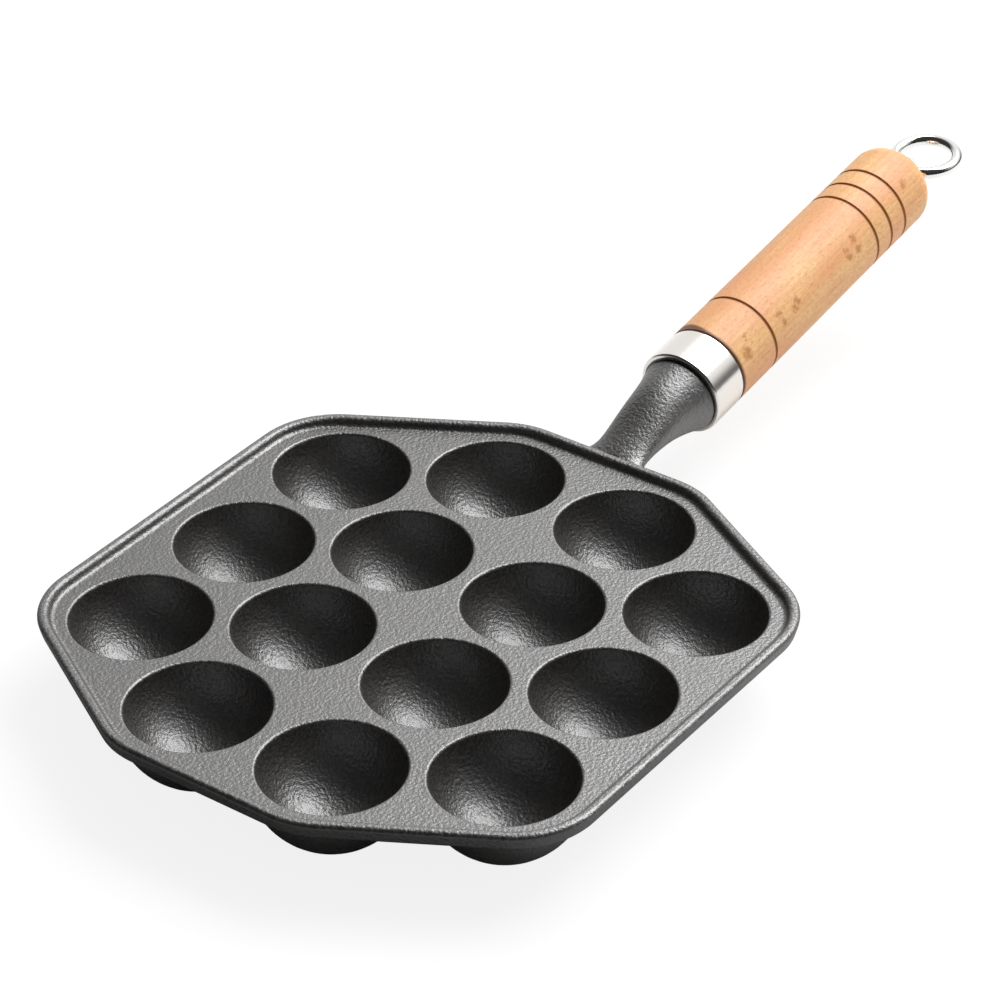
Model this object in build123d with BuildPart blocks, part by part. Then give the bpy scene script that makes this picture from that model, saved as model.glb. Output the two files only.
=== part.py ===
"""Takoyaki pan: a cast iron tray of hemispherical cups on a turned wooden handle.

Frame: +X runs from the tray towards the handle, +Z is up, and the pan stands on the
flat feet of its cups at Z = 0, with the middle of its whole length over the origin.
All sizes are in millimetres.
"""

import os
from math import cos, radians, sin, sqrt, tan

from build123d import *

# ---------------------------------------------------------------- cup pattern
cup_radius = 21.4  # inside, at the mouth and all the way down
cup_gap = 5.2  # iron between the mouths of neighbours in a row
middle_row_gap = 5.7  # and between the two rows of four
outer_row_gap = 5.6  # and, slanting, from a row of four to the row of three outside it
cup_wall = 3.0
cup_mouth_round = 0.8
foot_wall = 2.3  # iron left under the lowest point of a cup
row_of_four = 4
row_of_three = 3

# ----------------------------------------------------------------- tray
end_margin = 8.5  # from the mouth of a row's last cup to the tray's end
side_margin = 9.9  # from the mouths of the outer rows to the tray's side
corner_margin = 8.6  # from the mouths of the outermost cups to the slanted sides
corner_round = 28.3
plate_thickness = 2.8
rim_height = 2.6  # of the rim's top over the tray's floor
rim_width = 3.6
side_draft = 14.0  # degrees, the outer wall leans in towards its foot
recess_draft = 12.0  # degrees, the inner wall leans out towards the top
rim_outer_round = 1.3
rim_inner_round = 1.6
wall_foot_round = 1.4
recess_foot_round = 1.6

# ----------------------------------------------------------------- neck
axis_tilt = 7.9  # degrees, the handle rises away from the pan
axis_height = 0.5  # where the handle's axis passes the rim, over the tray's floor
neck_length = 37.4  # from the rim to the end face, along the handle's axis
neck_root_depth = 1.8  # how far the neck's root section lies inside the rim
neck_root_half_width = 13.0
neck_root_half_height = 2.3
neck_web_reach = 4.0  # from the rim to the section where the root's flare has ended
neck_web_half_width = 9.4
neck_web_half_height = 4.3
neck_web_rise = -0.5  # of that section's centre over the handle's axis
neck_waist_reach = 16.5
neck_waist_half_width = 9.8
neck_waist_half_height = 7.4
neck_waist_rise = 0.9
neck_flare_reach = 8.4  # from the end face back to the section where the flare starts
neck_flare_inset = 3.7  # of that section inside the handle's outside
neck_flare_rise = 0.6
neck_lip_reach = 4.4  # from the end face back to the section before the lip
neck_lip_inset = 2.7
neck_lip_rise = 0.1
neck_end_inset = 1.3
neck_end_rise = -0.5
neck_end_round = 0.8
spigot_length = 4.0

# ----------------------------------------------------------------- handle
ferrule_length = 14.4
ferrule_wall = 1.2
ferrule_front_round = 0.7  # of its edge towards the neck
ferrule_back_round = 0.3
handle_radius = 14.8
handle_length = 123.2  # from the ferrule to the tip of the rounded end
end_dome_length = 10.0
tenon_gap = 0.4  # between the wood's tenon and the neck's spigot
groove_width = 1.1
groove_depth = 0.5
first_groove = 19.9  # from the ferrule
last_groove = 100.4
groove_spacing = 8.7
end_groove_count = 3
shoulder_chamfer = 0.8

# ------------------------------------------------------- eye bolt and ring
bolt_radius = 3.0
thread_depth = 18.0  # of the tapped hole, from the neck's end face
thread_engagement = 15.0
washer_radius = 6.5
washer_thickness = 1.2
washer_seat_depth = 3.0  # of the counterbore, from the handle's tip
collar_radius = 5.0
collar_thickness = 1.2
eye_hole_radius = 2.6
eye_wall = 2.0
eye_sink = 1.4  # of the eye's round into the collar
eye_thickness = 2.6
ring_wire_radius = 2.0
ring_radius = 10.5  # of the wire's centre line
ring_droop = 2.4  # degrees, under the handle's axis
ring_slide = 9.0  # degrees, how far the ring has slipped round through its eye

# ----------------------------------------------------------------- clearances
fit_clearance = 0.05  # ferrule on wood and iron, bolt in its tapped hole
bore_clearance = 0.3  # bolt in the wood, washer on the bolt and in its seat

# ----------------------------------------------------------------- derived
cup_outer_radius = cup_radius + cup_wall
floor_z = cup_radius + foot_wall
rim_z = floor_z + rim_height
plate_foot_z = floor_z - plate_thickness
side_height = rim_height + plate_thickness

cup_pitch = 2 * cup_radius + cup_gap
middle_row_y = cup_radius + middle_row_gap / 2
# A row of three is shifted by half a pitch, so that its cups nest between those of the
# row of four, and the slanted sides of the tray follow the same slant.
row_slant = 2 * cup_radius + outer_row_gap
outer_row_y = middle_row_y + sqrt(row_slant**2 - (cup_pitch / 2) ** 2)
last_cup_x = cup_pitch * (row_of_four - 1) / 2
tray_half_length = last_cup_x + cup_radius + end_margin
tray_half_width = outer_row_y + cup_radius + side_margin
slant_normal = Vector(outer_row_y - middle_row_y, cup_pitch / 2, 0) / row_slant
slant_distance = (
    slant_normal.X * last_cup_x + slant_normal.Y * middle_row_y + cup_radius + corner_margin
)
corner_x = (slant_distance - slant_normal.Y * tray_half_width) / slant_normal.X
corner_y = (slant_distance - slant_normal.X * tray_half_length) / slant_normal.Y

wood_start = ferrule_length
wood_tip = ferrule_length + handle_length
tenon_start = spigot_length + tenon_gap
socket_radius = handle_radius - ferrule_wall  # inside the ferrule
plug_radius = socket_radius - fit_clearance  # of the wood's tenon and the neck's spigot
washer_seat = wood_tip - washer_seat_depth
collar_start = washer_seat + washer_thickness
collar_end = collar_start + collar_thickness
eye_radius = eye_hole_radius + eye_wall
eye_centre = collar_end + eye_radius - eye_sink

axis_direction = Vector(cos(radians(axis_tilt)), 0, sin(radians(axis_tilt)))
axis_up = Vector(-sin(radians(axis_tilt)), 0, cos(radians(axis_tilt)))
ring_tilt = radians(axis_tilt - ring_droop)
ring_forward = Vector(cos(ring_tilt), 0, sin(ring_tilt))
ring_up = Vector(-sin(ring_tilt), 0, cos(ring_tilt))

# The tray's middle lies behind the origin by half of what the handle and ring add.
handle_reach = (
    axis_direction.X * (neck_length + eye_centre)
    + ring_forward.X * ring_radius * (1 + cos(radians(ring_slide)))
    + ring_wire_radius
)
tray_x = -handle_reach / 2
cup_centres = [
    (tray_x + cup_pitch * (column - (count - 1) / 2), row_y, floor_z)
    for row_y, count in (
        (-outer_row_y, row_of_three),
        (-middle_row_y, row_of_four),
        (middle_row_y, row_of_four),
        (outer_row_y, row_of_three),
    )
    for column in range(count)
]
rim_point = Vector(tray_x + tray_half_length, 0, floor_z + axis_height)


def axis_plane(distance, rise=0.0):
    """A plane across the handle's axis, this far from the rim, its x direction along Y."""
    origin = rim_point + axis_direction * distance + axis_up * rise
    return Plane(origin=origin, x_dir=(0, 1, 0), z_dir=axis_direction)


# The plane that holds the handle's axis: its x runs along the axis from the ferrule's
# end of the neck, and its y is the distance from the axis.
neck_end_point = rim_point + axis_direction * neck_length
turning_plane = Plane(origin=neck_end_point, x_dir=axis_direction, z_dir=(0, -1, 0))
turning_axis = Axis(origin=neck_end_point, direction=axis_direction)

os.makedirs("parts", exist_ok=True)

# The tray's outline: an oblong with four slanted sides and well rounded corners.
with BuildSketch(Plane((tray_x, 0, rim_z))) as outline:
    with BuildLine():
        Polyline(
            (corner_x, tray_half_width),
            (tray_half_length, corner_y),
            (tray_half_length, -corner_y),
            (corner_x, -tray_half_width),
            (-corner_x, -tray_half_width),
            (-tray_half_length, -corner_y),
            (-tray_half_length, corner_y),
            (-corner_x, tray_half_width),
            close=True,
        )
    make_face()
    fillet(outline.vertices(), corner_round)

with BuildSketch(Plane((tray_x, 0, floor_z))) as recess_outline:
    recess_inset = rim_width + rim_height * tan(radians(recess_draft))
    offset(outline.sketch_local, -recess_inset)

# ------------------------------------------------------------------ cast pan
with BuildPart() as cast_pan:
    # The tray is drawn down from its rim, a little smaller at its foot.
    extrude(outline.sketch, amount=-side_height, taper=side_draft)
    fillet(cast_pan.faces().sort_by(Axis.Z)[0].edges(), wall_foot_round)
    fillet(cast_pan.faces().sort_by(Axis.Z)[-1].edges(), rim_outer_round)
    # The recess, drawn up from the floor and a little wider at the rim.
    extrude(recess_outline.sketch, amount=2 * rim_height, taper=-recess_draft, mode=Mode.SUBTRACT)
    floor_face = cast_pan.faces().filter_by(Axis.Z).filter_by_position(
        Axis.Z, floor_z - 0.1, floor_z + 0.1
    )[0]
    fillet(floor_face.edges(), recess_foot_round)
    rim_face = cast_pan.faces().sort_by(Axis.Z)[-1]
    fillet(rim_face.inner_wires()[0].edges(), rim_inner_round)

    # The neck: sections across the handle's axis, wide and flat where it leaves the
    # rim, round where it meets the ferrule.
    root_z = (rim_z + plate_foot_z) / 2
    root_x = rim_point.X - neck_root_depth
    with BuildSketch(Plane(origin=(root_x, 0, root_z), x_dir=(0, 1, 0), z_dir=(1, 0, 0))):
        Ellipse(neck_root_half_width, neck_root_half_height)
    with BuildSketch(axis_plane(neck_web_reach, neck_web_rise)):
        Ellipse(neck_web_half_width, neck_web_half_height)
    with BuildSketch(axis_plane(neck_waist_reach, neck_waist_rise)):
        Ellipse(neck_waist_half_width, neck_waist_half_height)
    with BuildSketch(axis_plane(neck_length - neck_flare_reach, neck_flare_rise)):
        Circle(handle_radius - neck_flare_inset)
    with BuildSketch(axis_plane(neck_length - neck_lip_reach, neck_lip_rise)):
        Circle(handle_radius - neck_lip_inset)
    with BuildSketch(axis_plane(neck_length, neck_end_rise)):
        Circle(handle_radius - neck_end_inset)
    loft()
    fillet(cast_pan.faces().sort_by(turning_axis)[-1].edges(), neck_end_round)

    # The cups: half balls under the tray, hollowed out, with rounded mouths.
    with Locations(*cup_centres):
        Sphere(cup_outer_radius, arc_size2=0, align=(Align.CENTER, Align.CENTER, Align.MAX))
    with Locations(*cup_centres):
        Sphere(cup_radius, mode=Mode.SUBTRACT)
    mouths = cast_pan.edges().filter_by(GeomType.CIRCLE).filter_by(
        lambda edge: abs(edge.radius - cup_radius) < 0.01
    )
    fillet(mouths, cup_mouth_round)

    # Flat feet: everything under the foot plane goes.
    split(bisect_by=Plane.XY, keep=Keep.TOP)

    # The spigot that centres the ferrule, and the tapped hole for the bolt.
    with BuildSketch(axis_plane(neck_length)):
        Circle(plug_radius)
    extrude(amount=spigot_length)
    with BuildSketch(axis_plane(neck_length + spigot_length)):
        Circle(bolt_radius + fit_clearance)
    extrude(amount=-(spigot_length + thread_depth), mode=Mode.SUBTRACT)
cast_pan.part.label = "cast_pan"
export_step(cast_pan.part, "parts/cast_pan.step")

# ------------------------------------------------------------------- ferrule
with BuildPart() as ferrule:
    with BuildSketch(axis_plane(neck_length)):
        Circle(handle_radius)
        Circle(socket_radius, mode=Mode.SUBTRACT)
    extrude(amount=ferrule_length)
    outer_edges = ferrule.edges().filter_by(GeomType.CIRCLE).sort_by(SortBy.RADIUS)[-2:]
    front_edge, back_edge = outer_edges.sort_by(turning_axis)
    fillet(front_edge, ferrule_front_round)
    fillet(back_edge, ferrule_back_round)
ferrule.part.label = "ferrule"
export_step(ferrule.part, "parts/ferrule.step")

# ------------------------------------------------------------- wooden handle
groove_places = [first_groove] + [
    last_groove - groove_spacing * count for count in reversed(range(end_groove_count))
]
with BuildPart() as wooden_handle:
    # Half the turned profile: tenon, shoulder, grip and rounded end.
    with BuildSketch(turning_plane):
        with BuildLine():
            Polyline(
                (tenon_start, 0),
                (tenon_start, plug_radius),
                (wood_start, plug_radius),
                (wood_start, handle_radius - shoulder_chamfer),
                (wood_start + shoulder_chamfer, handle_radius),
                (wood_tip - end_dome_length, handle_radius),
            )
            dome_centre = (wood_tip - end_dome_length, 0)
            EllipticalCenterArc(dome_centre, end_dome_length, handle_radius, arc_size=90)
            Line((wood_tip, 0), (tenon_start, 0))
        make_face()
        with Locations(*[(wood_start + place, handle_radius) for place in groove_places]):
            Ellipse(groove_width / 2, groove_depth, mode=Mode.SUBTRACT)
    revolve(axis=turning_axis)
    # The bolt's bore from end to end, and the seat for its washer.
    with BuildSketch(axis_plane(neck_length)):
        Circle(bolt_radius + bore_clearance)
    extrude(amount=wood_tip, mode=Mode.SUBTRACT)
    with BuildSketch(axis_plane(neck_length + washer_seat)):
        Circle(washer_radius + bore_clearance)
    extrude(amount=washer_seat_depth, mode=Mode.SUBTRACT)
wooden_handle.part.label = "wooden_handle"
export_step(wooden_handle.part, "parts/wooden_handle.step")

# -------------------------------------------------------------------- washer
with BuildPart() as end_washer:
    with BuildSketch(axis_plane(neck_length + washer_seat)):
        Circle(washer_radius)
        Circle(bolt_radius + bore_clearance, mode=Mode.SUBTRACT)
    extrude(amount=washer_thickness)
end_washer.part.label = "end_washer"
export_step(end_washer.part, "parts/end_washer.step")

# ------------------------------------------------------------------ eye bolt
with BuildPart() as eye_bolt:
    # Shank and collar, turned.
    with BuildSketch(axis_plane(neck_length + spigot_length - thread_engagement)):
        Circle(bolt_radius)
    extrude(amount=collar_end - spigot_length + thread_engagement)
    with BuildSketch(axis_plane(neck_length + collar_start)):
        Circle(collar_radius)
    extrude(amount=collar_thickness)
    # The flat eye: a round lug with a neck down to the collar, its hole along Y.
    with BuildSketch(turning_plane):
        with Locations((eye_centre, 0)):
            Circle(eye_radius)
        with Locations(((collar_end + eye_centre) / 2, 0)):
            Rectangle(eye_centre - collar_end, 2 * bolt_radius)
        with Locations((eye_centre, 0)):
            Circle(eye_hole_radius, mode=Mode.SUBTRACT)
    extrude(amount=eye_thickness / 2, both=True)
eye_bolt.part.label = "eye_bolt"
export_step(eye_bolt.part, "parts/eye_bolt.step")

# -------------------------------------------------------------- hanging ring
# A closed wire ring through the eye. Its plane droops a little from the handle's axis,
# and it has slipped round through the eye, which puts its centre off to one side.
eye_point = neck_end_point + axis_direction * eye_centre
ring_centre = eye_point + ring_radius * (
    ring_forward * cos(radians(ring_slide)) - Vector(0, 1, 0) * sin(radians(ring_slide))
)
with BuildPart() as hanging_ring:
    with BuildLine(Plane(origin=ring_centre, x_dir=ring_forward, z_dir=ring_up)) as ring_path:
        CenterArc((0, 0), ring_radius, 0, 360)
    with BuildSketch(Plane(origin=ring_path.line @ 0, z_dir=ring_path.line % 0)):
        Circle(ring_wire_radius)
    sweep()
hanging_ring.part.label = "hanging_ring"
export_step(hanging_ring.part, "parts/hanging_ring.step")
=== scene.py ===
# %% [markdown]
# # A takoyaki pan: its surfaces, its light and its view
# The pan is a cast iron tray with fourteen half-ball cups, on a turned beech handle with a
# steel ferrule and a nickel-plated hanging ring. The shapes come from a CAD model, loaded
# as a fixed frame, so this script gives them what the frame can't hold: their surfaces, the
# light, and the small signs of how each piece was made.

# %% Load the frame
from math import cos, radians, sin

import bpy
from mathutils import Matrix, Vector

MM = 0.001  # Blender counts in metres, and a pan is measured in millimetres

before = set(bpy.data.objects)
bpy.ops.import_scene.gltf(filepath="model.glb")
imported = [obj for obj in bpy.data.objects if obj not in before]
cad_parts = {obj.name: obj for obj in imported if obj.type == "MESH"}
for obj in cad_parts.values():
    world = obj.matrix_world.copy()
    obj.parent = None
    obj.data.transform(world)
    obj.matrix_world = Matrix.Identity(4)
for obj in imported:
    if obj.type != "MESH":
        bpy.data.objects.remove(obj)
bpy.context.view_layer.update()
print("nodes:", sorted(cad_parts))

# %% [markdown]
# ## Colours and nodes
# Colours are written as sRGB hex, the way a paint card or a colour picker gives them, while
# Blender's shaders work in linear light, so one function turns the one into the other. A
# node material is only nodes, settings and links, so one more function adds a node with all
# three. The nodes could be put together by hand in the editor as well, but written down
# they can be read from top to bottom.


# %% Colour and node helpers
def linear(hex_code):
    """An sRGB hex colour as linear RGBA."""
    channels = [int(hex_code[i : i + 2], 16) / 255 for i in (1, 3, 5)]
    return [
        c / 12.92 if c <= 0.04045 else ((c + 0.055) / 1.055) ** 2.4 for c in channels
    ] + [1.0]


def add_node(tree, kind, sockets=None, **settings):
    """Adds a node, sets its properties, and gives its sockets their values or links.

    A socket goes by its name or its number.
    """
    node = tree.nodes.new(kind)
    for name, value in settings.items():
        setattr(node, name, value)
    for socket, value in (sockets or {}).items():
        if isinstance(value, bpy.types.NodeSocket):
            tree.links.new(value, node.inputs[socket])
        else:
            node.inputs[socket].default_value = value
    return node


print("white as linear light:", linear("#FFFFFF"))

# %% [markdown]
# ## The camera
# A long lens from well above one corner of the tray, so the near sides hide little and the
# handle runs away to the upper right. A camera can be given three coordinates and three
# rotations, but those say little to a reader. This one is set up as on a tripod: what it
# aims at, how far it stands, in which direction, and how much it is rolled.


# %% Camera
def direction_at(azimuth, elevation):
    """A unit vector at an azimuth, counted from +X towards +Y, and an elevation."""
    return Vector(
        (cos(azimuth) * cos(elevation), sin(azimuth) * cos(elevation), sin(elevation))
    )


camera_aim = Vector((-36.24, 16.04, 23.7)) * MM
camera_distance = 1124.2 * MM
camera_azimuth = radians(-143.642)
camera_elevation = radians(33.673)
camera_roll = radians(-0.669)
lens_length, sensor_width = 131.22, 36.0  # millimetres, as lenses are sold
clip_start, clip_end = 0.01, 100.0  # metres

view_back = direction_at(camera_azimuth, camera_elevation)
view_right = direction_at(camera_azimuth + radians(90), 0.0)
view_right.rotate(Matrix.Rotation(camera_roll, 3, view_back))
view_up = view_back.cross(view_right)
camera_turn = Matrix((view_right, view_up, view_back)).transposed().to_4x4()

camera_data = bpy.data.cameras.new("camera")
camera_data.lens = lens_length
camera_data.sensor_width = sensor_width
camera_data.clip_start = clip_start
camera_data.clip_end = clip_end
camera = bpy.data.objects.new("camera", camera_data)
bpy.context.collection.objects.link(camera)
camera.matrix_world = (
    Matrix.Translation(camera_aim + view_back * camera_distance) @ camera_turn
)
bpy.context.scene.camera = camera
bpy.context.scene.view_settings.view_transform = "Standard"
print("camera at", [round(v, 4) for v in camera.matrix_world.translation])

# %% [markdown]
# ## The soft panel
# Dark iron shows itself by what it mirrors, not by its colour: the sheen on the tray and
# the glare low in each cup are the mirror image of a large soft panel that hangs above the
# handle. A sun or a small lamp would strike hard sparks from the pebbled iron instead, so
# the lamp is an area light as large as such a panel, turned to face the pan.

# %% Soft panel
panel_azimuth = radians(-12)
panel_elevation = radians(52.5)
panel_distance = 1.6  # metres
panel_width, panel_height = 1.40, 1.02  # metres
panel_power = 33.0  # watts

panel_direction = direction_at(panel_azimuth, panel_elevation)
panel_turn = panel_direction.to_track_quat("Z", "Y").to_matrix().to_4x4()
panel_data = bpy.data.lights.new("soft_panel", "AREA")
panel_data.shape = "RECTANGLE"
panel_data.size = panel_width
panel_data.size_y = panel_height
panel_data.energy = panel_power
panel = bpy.data.objects.new("soft_panel", panel_data)
bpy.context.collection.objects.link(panel)
panel.matrix_world = (
    Matrix.Translation(camera_aim + panel_direction * panel_distance) @ panel_turn
)
print("panel at", [round(v, 3) for v in panel.location])

# %% [markdown]
# ## The surroundings
# The walls of a studio light the matt wood, show in the metal and in the oiled iron, and
# are the white background. A panorama of a real room could stand in for them, but one
# brightness for each direction is enough here, and simple to change. Matt surfaces get a
# weak fill that is stronger on the panel's side. Metal and gloss mirror white on the
# panel's side and nearly black on the camera's side, which keeps the insides of the cups
# dark. Between the table and the panel, low over the horizon on the -Y side, they mirror a
# dark gap.

# %% Brightness by direction
world = bpy.data.worlds.new("studio")
bpy.context.scene.world = world
world.use_nodes = True
sky = world.node_tree
sky.nodes.clear()


def eased(tree, value, low, high, to_low=0.0, to_high=1.0, curve="SMOOTHSTEP"):
    """A value carried from one range to another, which by default eases in and out."""
    return add_node(
        tree,
        "ShaderNodeMapRange",
        {
            "Value": value,
            "From Min": low,
            "From Max": high,
            "To Min": to_low,
            "To Max": to_high,
        },
        interpolation_type=curve,
    ).outputs["Result"]


def add_math(tree, operation, *values):
    """The result of a Math node; each value is a number or a link."""
    return add_node(
        tree, "ShaderNodeMath", dict(enumerate(values)), operation=operation
    ).outputs[0]


# A direction is one unit long, so these ranges are parts of the way from -1 to 1.
mirrored_range, mirrored_levels = (-0.1, 0.6), (0.04, 1.0)  # along X
gap_range, gap_levels = (0.10, 0.45), (0.12, 1.0)  # up from the horizon
beside_gap_range = (-0.3, 0.3)  # along Y: the gap is on the -Y side
fill_range, fill_levels = (-0.6, 0.4), (0.10, 0.54)  # along X

direction = add_node(sky, "ShaderNodeTexCoord").outputs["Generated"]
toward = add_node(sky, "ShaderNodeSeparateXYZ", {0: direction}).outputs
panel_side = eased(sky, toward["X"], *mirrored_range, *mirrored_levels)
above_gap = eased(sky, toward["Z"], *gap_range, *gap_levels)
beside_gap = eased(sky, toward["Y"], *beside_gap_range)
out_of_gap = add_math(sky, "MAXIMUM", above_gap, beside_gap)
mirrored_level = add_math(sky, "MULTIPLY", panel_side, out_of_gap)
fill_level = eased(sky, toward["X"], *fill_range, *fill_levels)
print("mirrored", mirrored_levels, "fill", fill_levels, "gap", gap_levels)

# %% [markdown]
# ## One sky for each kind of ray
# A single sky can't be all three things at once. As bright as the background has to be, it
# would wash out the iron. A Light Path node tells which kind of ray asks, so each kind gets
# its own sky: matt surfaces the fill, mirrored rays what they mirror, and the camera white.

# %% Three skies
white = linear("#FFFFFF")


def white_sky(strength):
    """A white background of this strength, a number or a link."""
    return add_node(
        sky, "ShaderNodeBackground", {"Color": white, "Strength": strength}
    ).outputs[0]


def either(tree, factor, first, second):
    """The first shader where the factor is 0, and the second where it is 1."""
    return add_node(
        tree, "ShaderNodeMixShader", {0: factor, 1: first, 2: second}
    ).outputs[0]


ray = add_node(sky, "ShaderNodeLightPath").outputs
mirrored_ray = add_math(
    sky, "MAXIMUM", ray["Is Glossy Ray"], ray["Is Transmission Ray"]
)
fill_or_mirrored = either(
    sky, mirrored_ray, white_sky(fill_level), white_sky(mirrored_level)
)
sky_shader = either(sky, ray["Is Camera Ray"], fill_or_mirrored, white_sky(1.0))
add_node(sky, "ShaderNodeOutputWorld", {"Surface": sky_shader})
print("sky made of", len(sky.nodes), "nodes")

# %% [markdown]
# ## The table
# A plain white sheet under the pan. If it were only lit, it would come out greyer than the
# background and show its edge, so to the camera most of its brightness is its own glow,
# and the small rest is lit, which a shadow can take away. To the pan it is a sheet that
# throws light back up, but its colour falls off to grey on the side away from the panel:
# painted shade, as a black flag beside it would cast, so the walls on that side of the pan
# stay dark.


# %% Table
def new_material(name):
    """An empty node material, its tree and its output node."""
    material = bpy.data.materials.new(name)
    material.use_nodes = True
    material.node_tree.nodes.clear()
    output = add_node(material.node_tree, "ShaderNodeOutputMaterial")
    return material, material.node_tree, output


table_size = 1.1  # metres, wider than the view
# Painted shade: the sheet's whiteness falls from 0.80 to 0.22 towards -X, away from the
# panel.
painted_shade_range, painted_shade_levels = (-0.30, 0.05), (0.22, 0.80)  # metres along X, and whiteness
glow_level = 0.86

bpy.ops.object.select_all(action="DESELECT")
bpy.ops.mesh.primitive_plane_add(size=table_size, location=(0, 0, 0))
table = bpy.context.object
table.name = "table"

paper, tree, output = new_material("white_paper")  # uncoated, so without any gloss
ray = add_node(tree, "ShaderNodeLightPath").outputs
place = add_node(tree, "ShaderNodeTexCoord").outputs["Object"]
table_x = add_node(tree, "ShaderNodeSeparateXYZ", {0: place}).outputs["X"]
# The sheet's colour greys towards -X: painted shade, as beside a black flag.
whiteness_with_painted_shade = eased(tree, table_x, *painted_shade_range, *painted_shade_levels)
lit = add_node(tree, "ShaderNodeBsdfDiffuse", {"Color": whiteness_with_painted_shade})
lit_faintly = add_node(tree, "ShaderNodeBsdfDiffuse", {"Color": linear("#707070")})
glow = add_node(tree, "ShaderNodeEmission", {"Color": white, "Strength": glow_level})
to_camera = add_node(
    tree, "ShaderNodeAddShader", {0: lit_faintly.outputs[0], 1: glow.outputs[0]}
)
paper_shader = either(tree, ray["Is Camera Ray"], lit.outputs[0], to_camera.outputs[0])
tree.links.new(paper_shader, output.inputs["Surface"])
table.data.materials.append(paper)
# The table isn't a piece of the pan.
print("table", [round(v, 2) for v in table.dimensions])

# %% [markdown]
# ## Cast iron: the skin of the casting
# The tray was cast in sand, which leaves a skin of small rounded pebbles with a finer grit
# on them. They are about a millimetre across and less than a tenth of a millimetre high.
# To model them would take millions of faces, and a flat picture of them would stretch in
# the cups, so they are two noises in space that only tilt the surface: bumps. The grain of
# a real pan is a little finer still, and is drawn as coarse as it has to be to show.

# %% Pebbles and grit
iron, tree, output = new_material("seasoned_cast_iron")  # sand cast, then baked with oil
pebble_size, grit_size = 1.0 * MM, 0.45 * MM
# A noise could reach from 0 to 1 but keeps to the middle third, and so does the relief.
pebble_height, grit_height = 0.23 * MM, 0.05 * MM


def add_noise(tree, place, size, detail, roughness=0.5, output=0):
    """Noise with features of about this size: its value, or the output of that name."""
    return add_node(
        tree,
        "ShaderNodeTexNoise",
        {"Vector": place, "Scale": 1 / size, "Detail": detail, "Roughness": roughness},
    ).outputs[output]


def add_bump(tree, height, distance, under=None):
    """The normal of a surface with this relief, on top of another bump if one is given."""
    sockets = {"Height": height, "Distance": distance, "Strength": 1.0}
    if under is not None:
        sockets["Normal"] = under
    return add_node(tree, "ShaderNodeBump", sockets).outputs[0]


place = add_node(tree, "ShaderNodeTexCoord").outputs["Object"]
pebbles = add_noise(tree, place, pebble_size, detail=1.0)
grit = add_noise(tree, place, grit_size, detail=1.0)
skin_relief = add_bump(tree, pebbles, pebble_height, add_bump(tree, grit, grit_height))
print("pebbles", round(pebble_size / MM, 2), "mm, grit", round(grit_size / MM, 2), "mm")

# %% [markdown]
# ## Cast iron: the film of oil
# Seasoning bakes thin coats of oil onto the iron. The film is nearly black, with a satin
# gloss. It isn't set to metallic, because no bare iron shows, but under it lies black iron
# oxide, which mirrors more than oil or paint, so the index of refraction is high. The oil
# pooled and baked unevenly, so the gloss changes over a couple of centimetres. The pits
# between the pebbles are painted darker than their tops: painted shade in the hollows.
# One colour and one gloss for the whole pan would look like plastic.

# %% Seasoned film
MIX_FIRST, MIX_SECOND, MIX_RESULT = 6, 7, 2  # the colour sockets of a Mix node
NOISE_SPAN = (0.3, 0.7)  # nearly all of a noise's values lie between these


def mixed(tree, factor, first, second):
    """Two colours mixed by a factor; each is a colour or a link."""
    return add_node(
        tree,
        "ShaderNodeMix",
        {"Factor": factor, MIX_FIRST: first, MIX_SECOND: second},
        data_type="RGBA",
    ).outputs[MIX_RESULT]


def dress(node_name, material):
    """Puts one material on all of a CAD node."""
    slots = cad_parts[node_name].material_slots
    for slot in slots:
        slot.material = material
    print(node_name, "wears", material.name, "in", len(slots), "slot(s)")


pool_size = 22 * MM
film_roughness = (0.41, 0.47)
pit_range = (0.35, 0.65)  # of the pebbles' noise, from a pit to the top of a pebble
film_ior = 2.3  # oil alone has 1.5 and black iron oxide about 2.4

pools = add_noise(tree, place, pool_size, detail=2.0)
film_gloss = eased(tree, pools, *NOISE_SPAN, *film_roughness, curve="LINEAR")
# Painted shade: the pits between the pebbles get the darker colour, the tops the lighter.
out_of_pit_shade = eased(tree, pebbles, *pit_range)
film_colour_with_pit_shade = mixed(tree, out_of_pit_shade, linear("#161514"), linear("#37322F"))
film = add_node(
    tree,
    "ShaderNodeBsdfPrincipled",
    {
        "Base Color": film_colour_with_pit_shade,
        "Metallic": 0.0,
        "IOR": film_ior,
        "Roughness": film_gloss,
        "Normal": skin_relief,
    },
)
tree.links.new(film.outputs[0], output.inputs["Surface"])
dress("cast_pan", iron)

# %% [markdown]
# ## Coordinates along the handle
# Wood grain runs along the handle and polishing marks run round it, and the handle rises
# at a slant. Patterns that follow the world's axes would cut across it, and an unwrapped
# mesh would have a seam, so a Mapping node turns the coordinates instead: x runs along the
# handle's own axis from the ferrule's start, y runs across it, and z points up.

# %% Handle coordinates
axis_tilt = radians(7.9)
axis_at_rim = Vector((2.571, 0, 24.2)) * MM
neck_length = 37.4 * MM  # from the rim to the ferrule
ferrule_start = axis_at_rim + direction_at(0.0, axis_tilt) * neck_length


def along_handle(tree):
    """Coordinates in metres with x along the handle from the ferrule's start."""
    place = add_node(tree, "ShaderNodeTexCoord").outputs["Object"]
    return add_node(
        tree,
        "ShaderNodeMapping",
        {"Vector": place, "Location": ferrule_start, "Rotation": (0, -axis_tilt, 0)},
        vector_type="TEXTURE",
    ).outputs[0]


print("ferrule starts at", [round(v, 5) for v in ferrule_start])

# %% [markdown]
# ## Beech
# The handle was turned from beech, sanded and oiled. Beech is a pale pinkish tan, with
# fine streaks along the grain and short dark flecks, its rays. A picture of planed beech
# would look glued on, since turning cuts into the wood at every depth, so the pattern
# fills space and the surface shows what it cuts. Four noises, stretched along the grain,
# lie over each other. Real streaks and flecks are finer than the half to one millimetre
# drawn here, which is as fine as can show.

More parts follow.
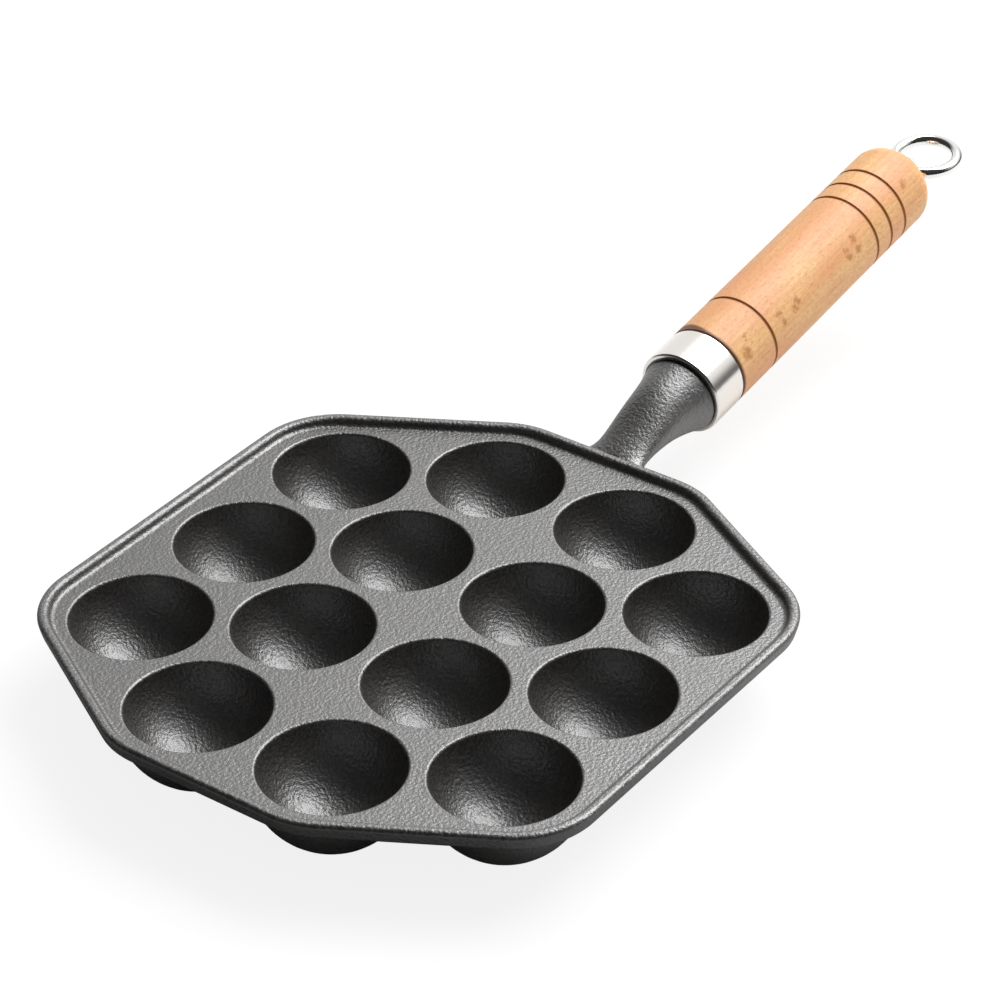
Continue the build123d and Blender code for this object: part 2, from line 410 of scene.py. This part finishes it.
# %% Beech colour
beech, tree, output = new_material("turned_beech")  # turned, sanded and oiled
in_wood = along_handle(tree)
wood_axes = add_node(tree, "ShaderNodeSeparateXYZ", {0: in_wood}).outputs
along, across = wood_axes["X"], wood_axes["Y"]


def add_vector_math(tree, operation, *values, output="Vector"):
    """The result of a Vector Math node; a distance comes from its output Value."""
    return add_node(
        tree, "ShaderNodeVectorMath", dict(enumerate(values)), operation=operation
    ).outputs[output]


def stretched_noise(tree, place, length, width, detail, roughness=0.5):
    """Noise with features this long along the handle and this wide across it."""
    scale = (1 / length, 1 / width, 1 / width)
    stretched = add_vector_math(tree, "MULTIPLY", place, scale)
    return add_noise(tree, stretched, 1.0, detail, roughness)


cloud_range = (0.36, 0.64)
clouds = stretched_noise(tree, in_wood, 34 * MM, 10 * MM, detail=2.0)
streaks = stretched_noise(tree, in_wood, 34 * MM, 0.9 * MM, detail=3.0, roughness=0.6)
mottle = stretched_noise(tree, in_wood, 1.5 * MM, 0.9 * MM, detail=2.0, roughness=0.6)
flecks = stretched_noise(tree, in_wood, 1.7 * MM, 0.5 * MM, detail=1.0)

cloud_level = eased(tree, clouds, *cloud_range)
pinkish, yellowish = linear("#E6A878"), linear("#EABF85")
beech_colour = mixed(tree, cloud_level, pinkish, yellowish)
beech_layers = [  # noise, where in it the colour starts and is full, its strength, colour
    (streaks, 0.32, 0.70, 0.60, "#DA9864"),
    (mottle, 0.38, 0.72, 0.55, "#D69862"),
    (flecks, 0.60, 0.72, 0.60, "#C28551"),
]
for noise, start, full, strength, colour in beech_layers:
    level = eased(tree, noise, start, full, 0.0, strength)
    beech_colour = mixed(tree, level, beech_colour, linear(colour))
print("beech colours:", 2 + len(beech_layers))

# %% [markdown]
# ## Brown spots
# The tree's fine twigs left brown spots in the wood, a few millimetres across. A noise
# could scatter them, but it would put them anywhere and make them all alike, so each is a
# soft ball at its own place: its distance from the ferrule's start, its angle from the top
# and its radius. A noise bends the coordinates first, so that no spot is round.

# %% Brown spots
brown_spots = [  # millimetres, degrees towards -Y, millimetres
    (20.5, 61, 2.4),
    (23.0, 43, 1.0),
    (41.0, 52, 1.5),
    (41.5, 67, 1.7),
    (48.5, 64, 1.3),
    (50.5, 57, 1.8),
    (81.0, 54, 1.3),
    (81.5, 66, 1.6),
    (86.5, 51, 1.5),
    (87.0, 67, 1.5),
    (120.0, 46, 1.5),
]
handle_radius = 14.8 * MM
NOISE_MIDDLE = (0.5, 0.5, 0.5)  # taken off, so that a noise bends both ways
bend_size, bend_reach = 2.0 * MM, 5 * MM
core_share, edge_share = 0.3, 1.4  # of its radius, where a spot starts to fade and ends
spot_strength = 0.9

bend = add_noise(tree, in_wood, bend_size, detail=2.5, output="Color")
both_ways = add_vector_math(tree, "SUBTRACT", bend, NOISE_MIDDLE)
bent = add_vector_math(tree, "MULTIPLY_ADD", both_ways, (bend_reach,) * 3, in_wood)

spot_level = 0.0
for distance_along, angle, radius in brown_spots:
    y = -handle_radius * sin(radians(angle))
    z = handle_radius * cos(radians(angle))
    centre = Vector((distance_along * MM, y, z))
    reach = add_vector_math(tree, "DISTANCE", bent, centre, output="Value")
    core, edge = core_share * radius * MM, edge_share * radius * MM
    level = eased(tree, reach, core, edge, spot_strength, 0.0)
    spot_level = add_math(tree, "MAXIMUM", spot_level, level)
marked = mixed(tree, spot_level, beech_colour, linear("#BB7B46"))
print("brown spots:", len(brown_spots))

# %% [markdown]
# ## Burnt grooves
# The grooves were cut on the lathe and then burnt dark with a wire held against the
# spinning wood, which also tinges their edges. The CAD model has their shape. Dark hoops
# laid into them would have hard edges, so the burn is a colour in the wood that fades with
# the distance from the middle of each groove.

# %% Burnt grooves
ferrule_length = 14.4 * MM
groove_places = [ferrule_length + place * MM for place in (19.9, 83.0, 91.7, 100.4)]
groove_core, groove_edge = 0.35 * MM, 1.1 * MM  # where the burn starts to fade and ends
groove_level = 0.0
for groove_place in groove_places:
    reach = add_math(tree, "ABSOLUTE", add_math(tree, "SUBTRACT", along, groove_place))
    level = eased(tree, reach, groove_core, groove_edge, 1.0, 0.0)
    groove_level = add_math(tree, "MAXIMUM", groove_level, level)
grooved = mixed(tree, groove_level, marked, linear("#A5672F"))
print("grooves at", [round(place / MM, 1) for place in groove_places], "mm")

# %% [markdown]
# ## Scorched shoulder and painted shade
# The same wire scorched the wood beside the ferrule, a narrow line on the -Y side. Towards
# +Y the dark band widens to a crescent, and the widening is painted shade in the joint by
# the ferrule. A ring of one width would look printed, so its width depends on the place
# across the handle.

# %% Scorched shoulder and painted shade
crescent_range = (-4 * MM, 11 * MM)  # across the handle, from -Y to +Y
crescent_width = (1.4 * MM, 4.2 * MM)
crescent_fade = (-0.6 * MM, 0.7 * MM)

# The narrow line is scorch; the extra width towards +Y is painted shade at the joint with
# the ferrule.
scorch_and_shade_width = eased(tree, across, *crescent_range, *crescent_width)
past_shoulder = add_math(tree, "SUBTRACT", along, ferrule_length)
past_scorch_and_shade = add_math(tree, "SUBTRACT", past_shoulder, scorch_and_shade_width)
scorch_and_shade_level = eased(tree, past_scorch_and_shade, *crescent_fade, 1.0, 0.0)
# Scorch and painted shade in one dark brown, laid over the grooved wood.
burnt_and_shaded = mixed(tree, scorch_and_shade_level, grooved, linear("#6A4128"))
print("scorch", [round(width / MM, 1) for width in crescent_width], "mm wide")

# %% [markdown]
# ## The oiled surface
# Sanding leaves the pores as shallow furrows along the grain, and oil dries on them to a
# soft sheen that is uneven over the flecks. The furrows are far too shallow to model, so
# the noises that colour the wood also drive its bump and its gloss, and all three agree.

# %% Beech surface
pore_depth = 0.03 * MM
oiled_roughness = (0.46, 0.58)
oiled_ior = 1.5

wood = add_node(
    tree,
    "ShaderNodeBsdfPrincipled",
    {
        "Base Color": burnt_and_shaded,
        "Metallic": 0.0,
        "IOR": oiled_ior,
        "Roughness": eased(tree, flecks, *NOISE_SPAN, *oiled_roughness),
        "Normal": add_bump(tree, streaks, pore_depth),
    },
)
tree.links.new(wood.outputs[0], output.inputs["Surface"])
dress("wooden_handle", beech)

# %% [markdown]
# ## Steel, nickel and zinc
# The ferrule is a short stainless tube, polished while it turned, which leaves hair-fine
# rings round it. They are too fine to show one by one and only soften what it mirrors.
# Drawn wider they would look like a screw thread, and roughness alone has no direction, so
# they stay hair-fine, as a faint bump. The hanging ring and the eye bolt have bright nickel
# plating, and the washer under the bolt's collar is zinc plated, duller and greyer.

# %% Metals
mark_length = 30 * MM  # how far one polishing mark runs round the ferrule
mark_spacing, mark_depth = 0.12 * MM, 0.004 * MM


def new_metal(name, colour, roughness, polishing_marks=False):
    """A bare or plated metal, with or without marks that run round the handle's axis."""
    metal, tree, output = new_material(name)
    sockets = {"Base Color": linear(colour), "Metallic": 1.0, "Roughness": roughness}
    if polishing_marks:
        place = along_handle(tree)
        marks = stretched_noise(
            tree, place, mark_spacing, mark_length, detail=2.0, roughness=0.7
        )
        sockets["Normal"] = add_bump(tree, marks, mark_depth)
    shader = add_node(tree, "ShaderNodeBsdfPrincipled", sockets)
    tree.links.new(shader.outputs[0], output.inputs["Surface"])
    return metal


stainless = new_metal("polished_stainless", "#E6E2DD", 0.20, polishing_marks=True)
nickel = new_metal("bright_nickel", "#E6E6E4", 0.10)
zinc = new_metal("zinc_plated_steel", "#C4C6C8", 0.30)
dress("ferrule", stainless)
dress("hanging_ring", nickel)
dress("eye_bolt", nickel)
dress("end_washer", zinc)
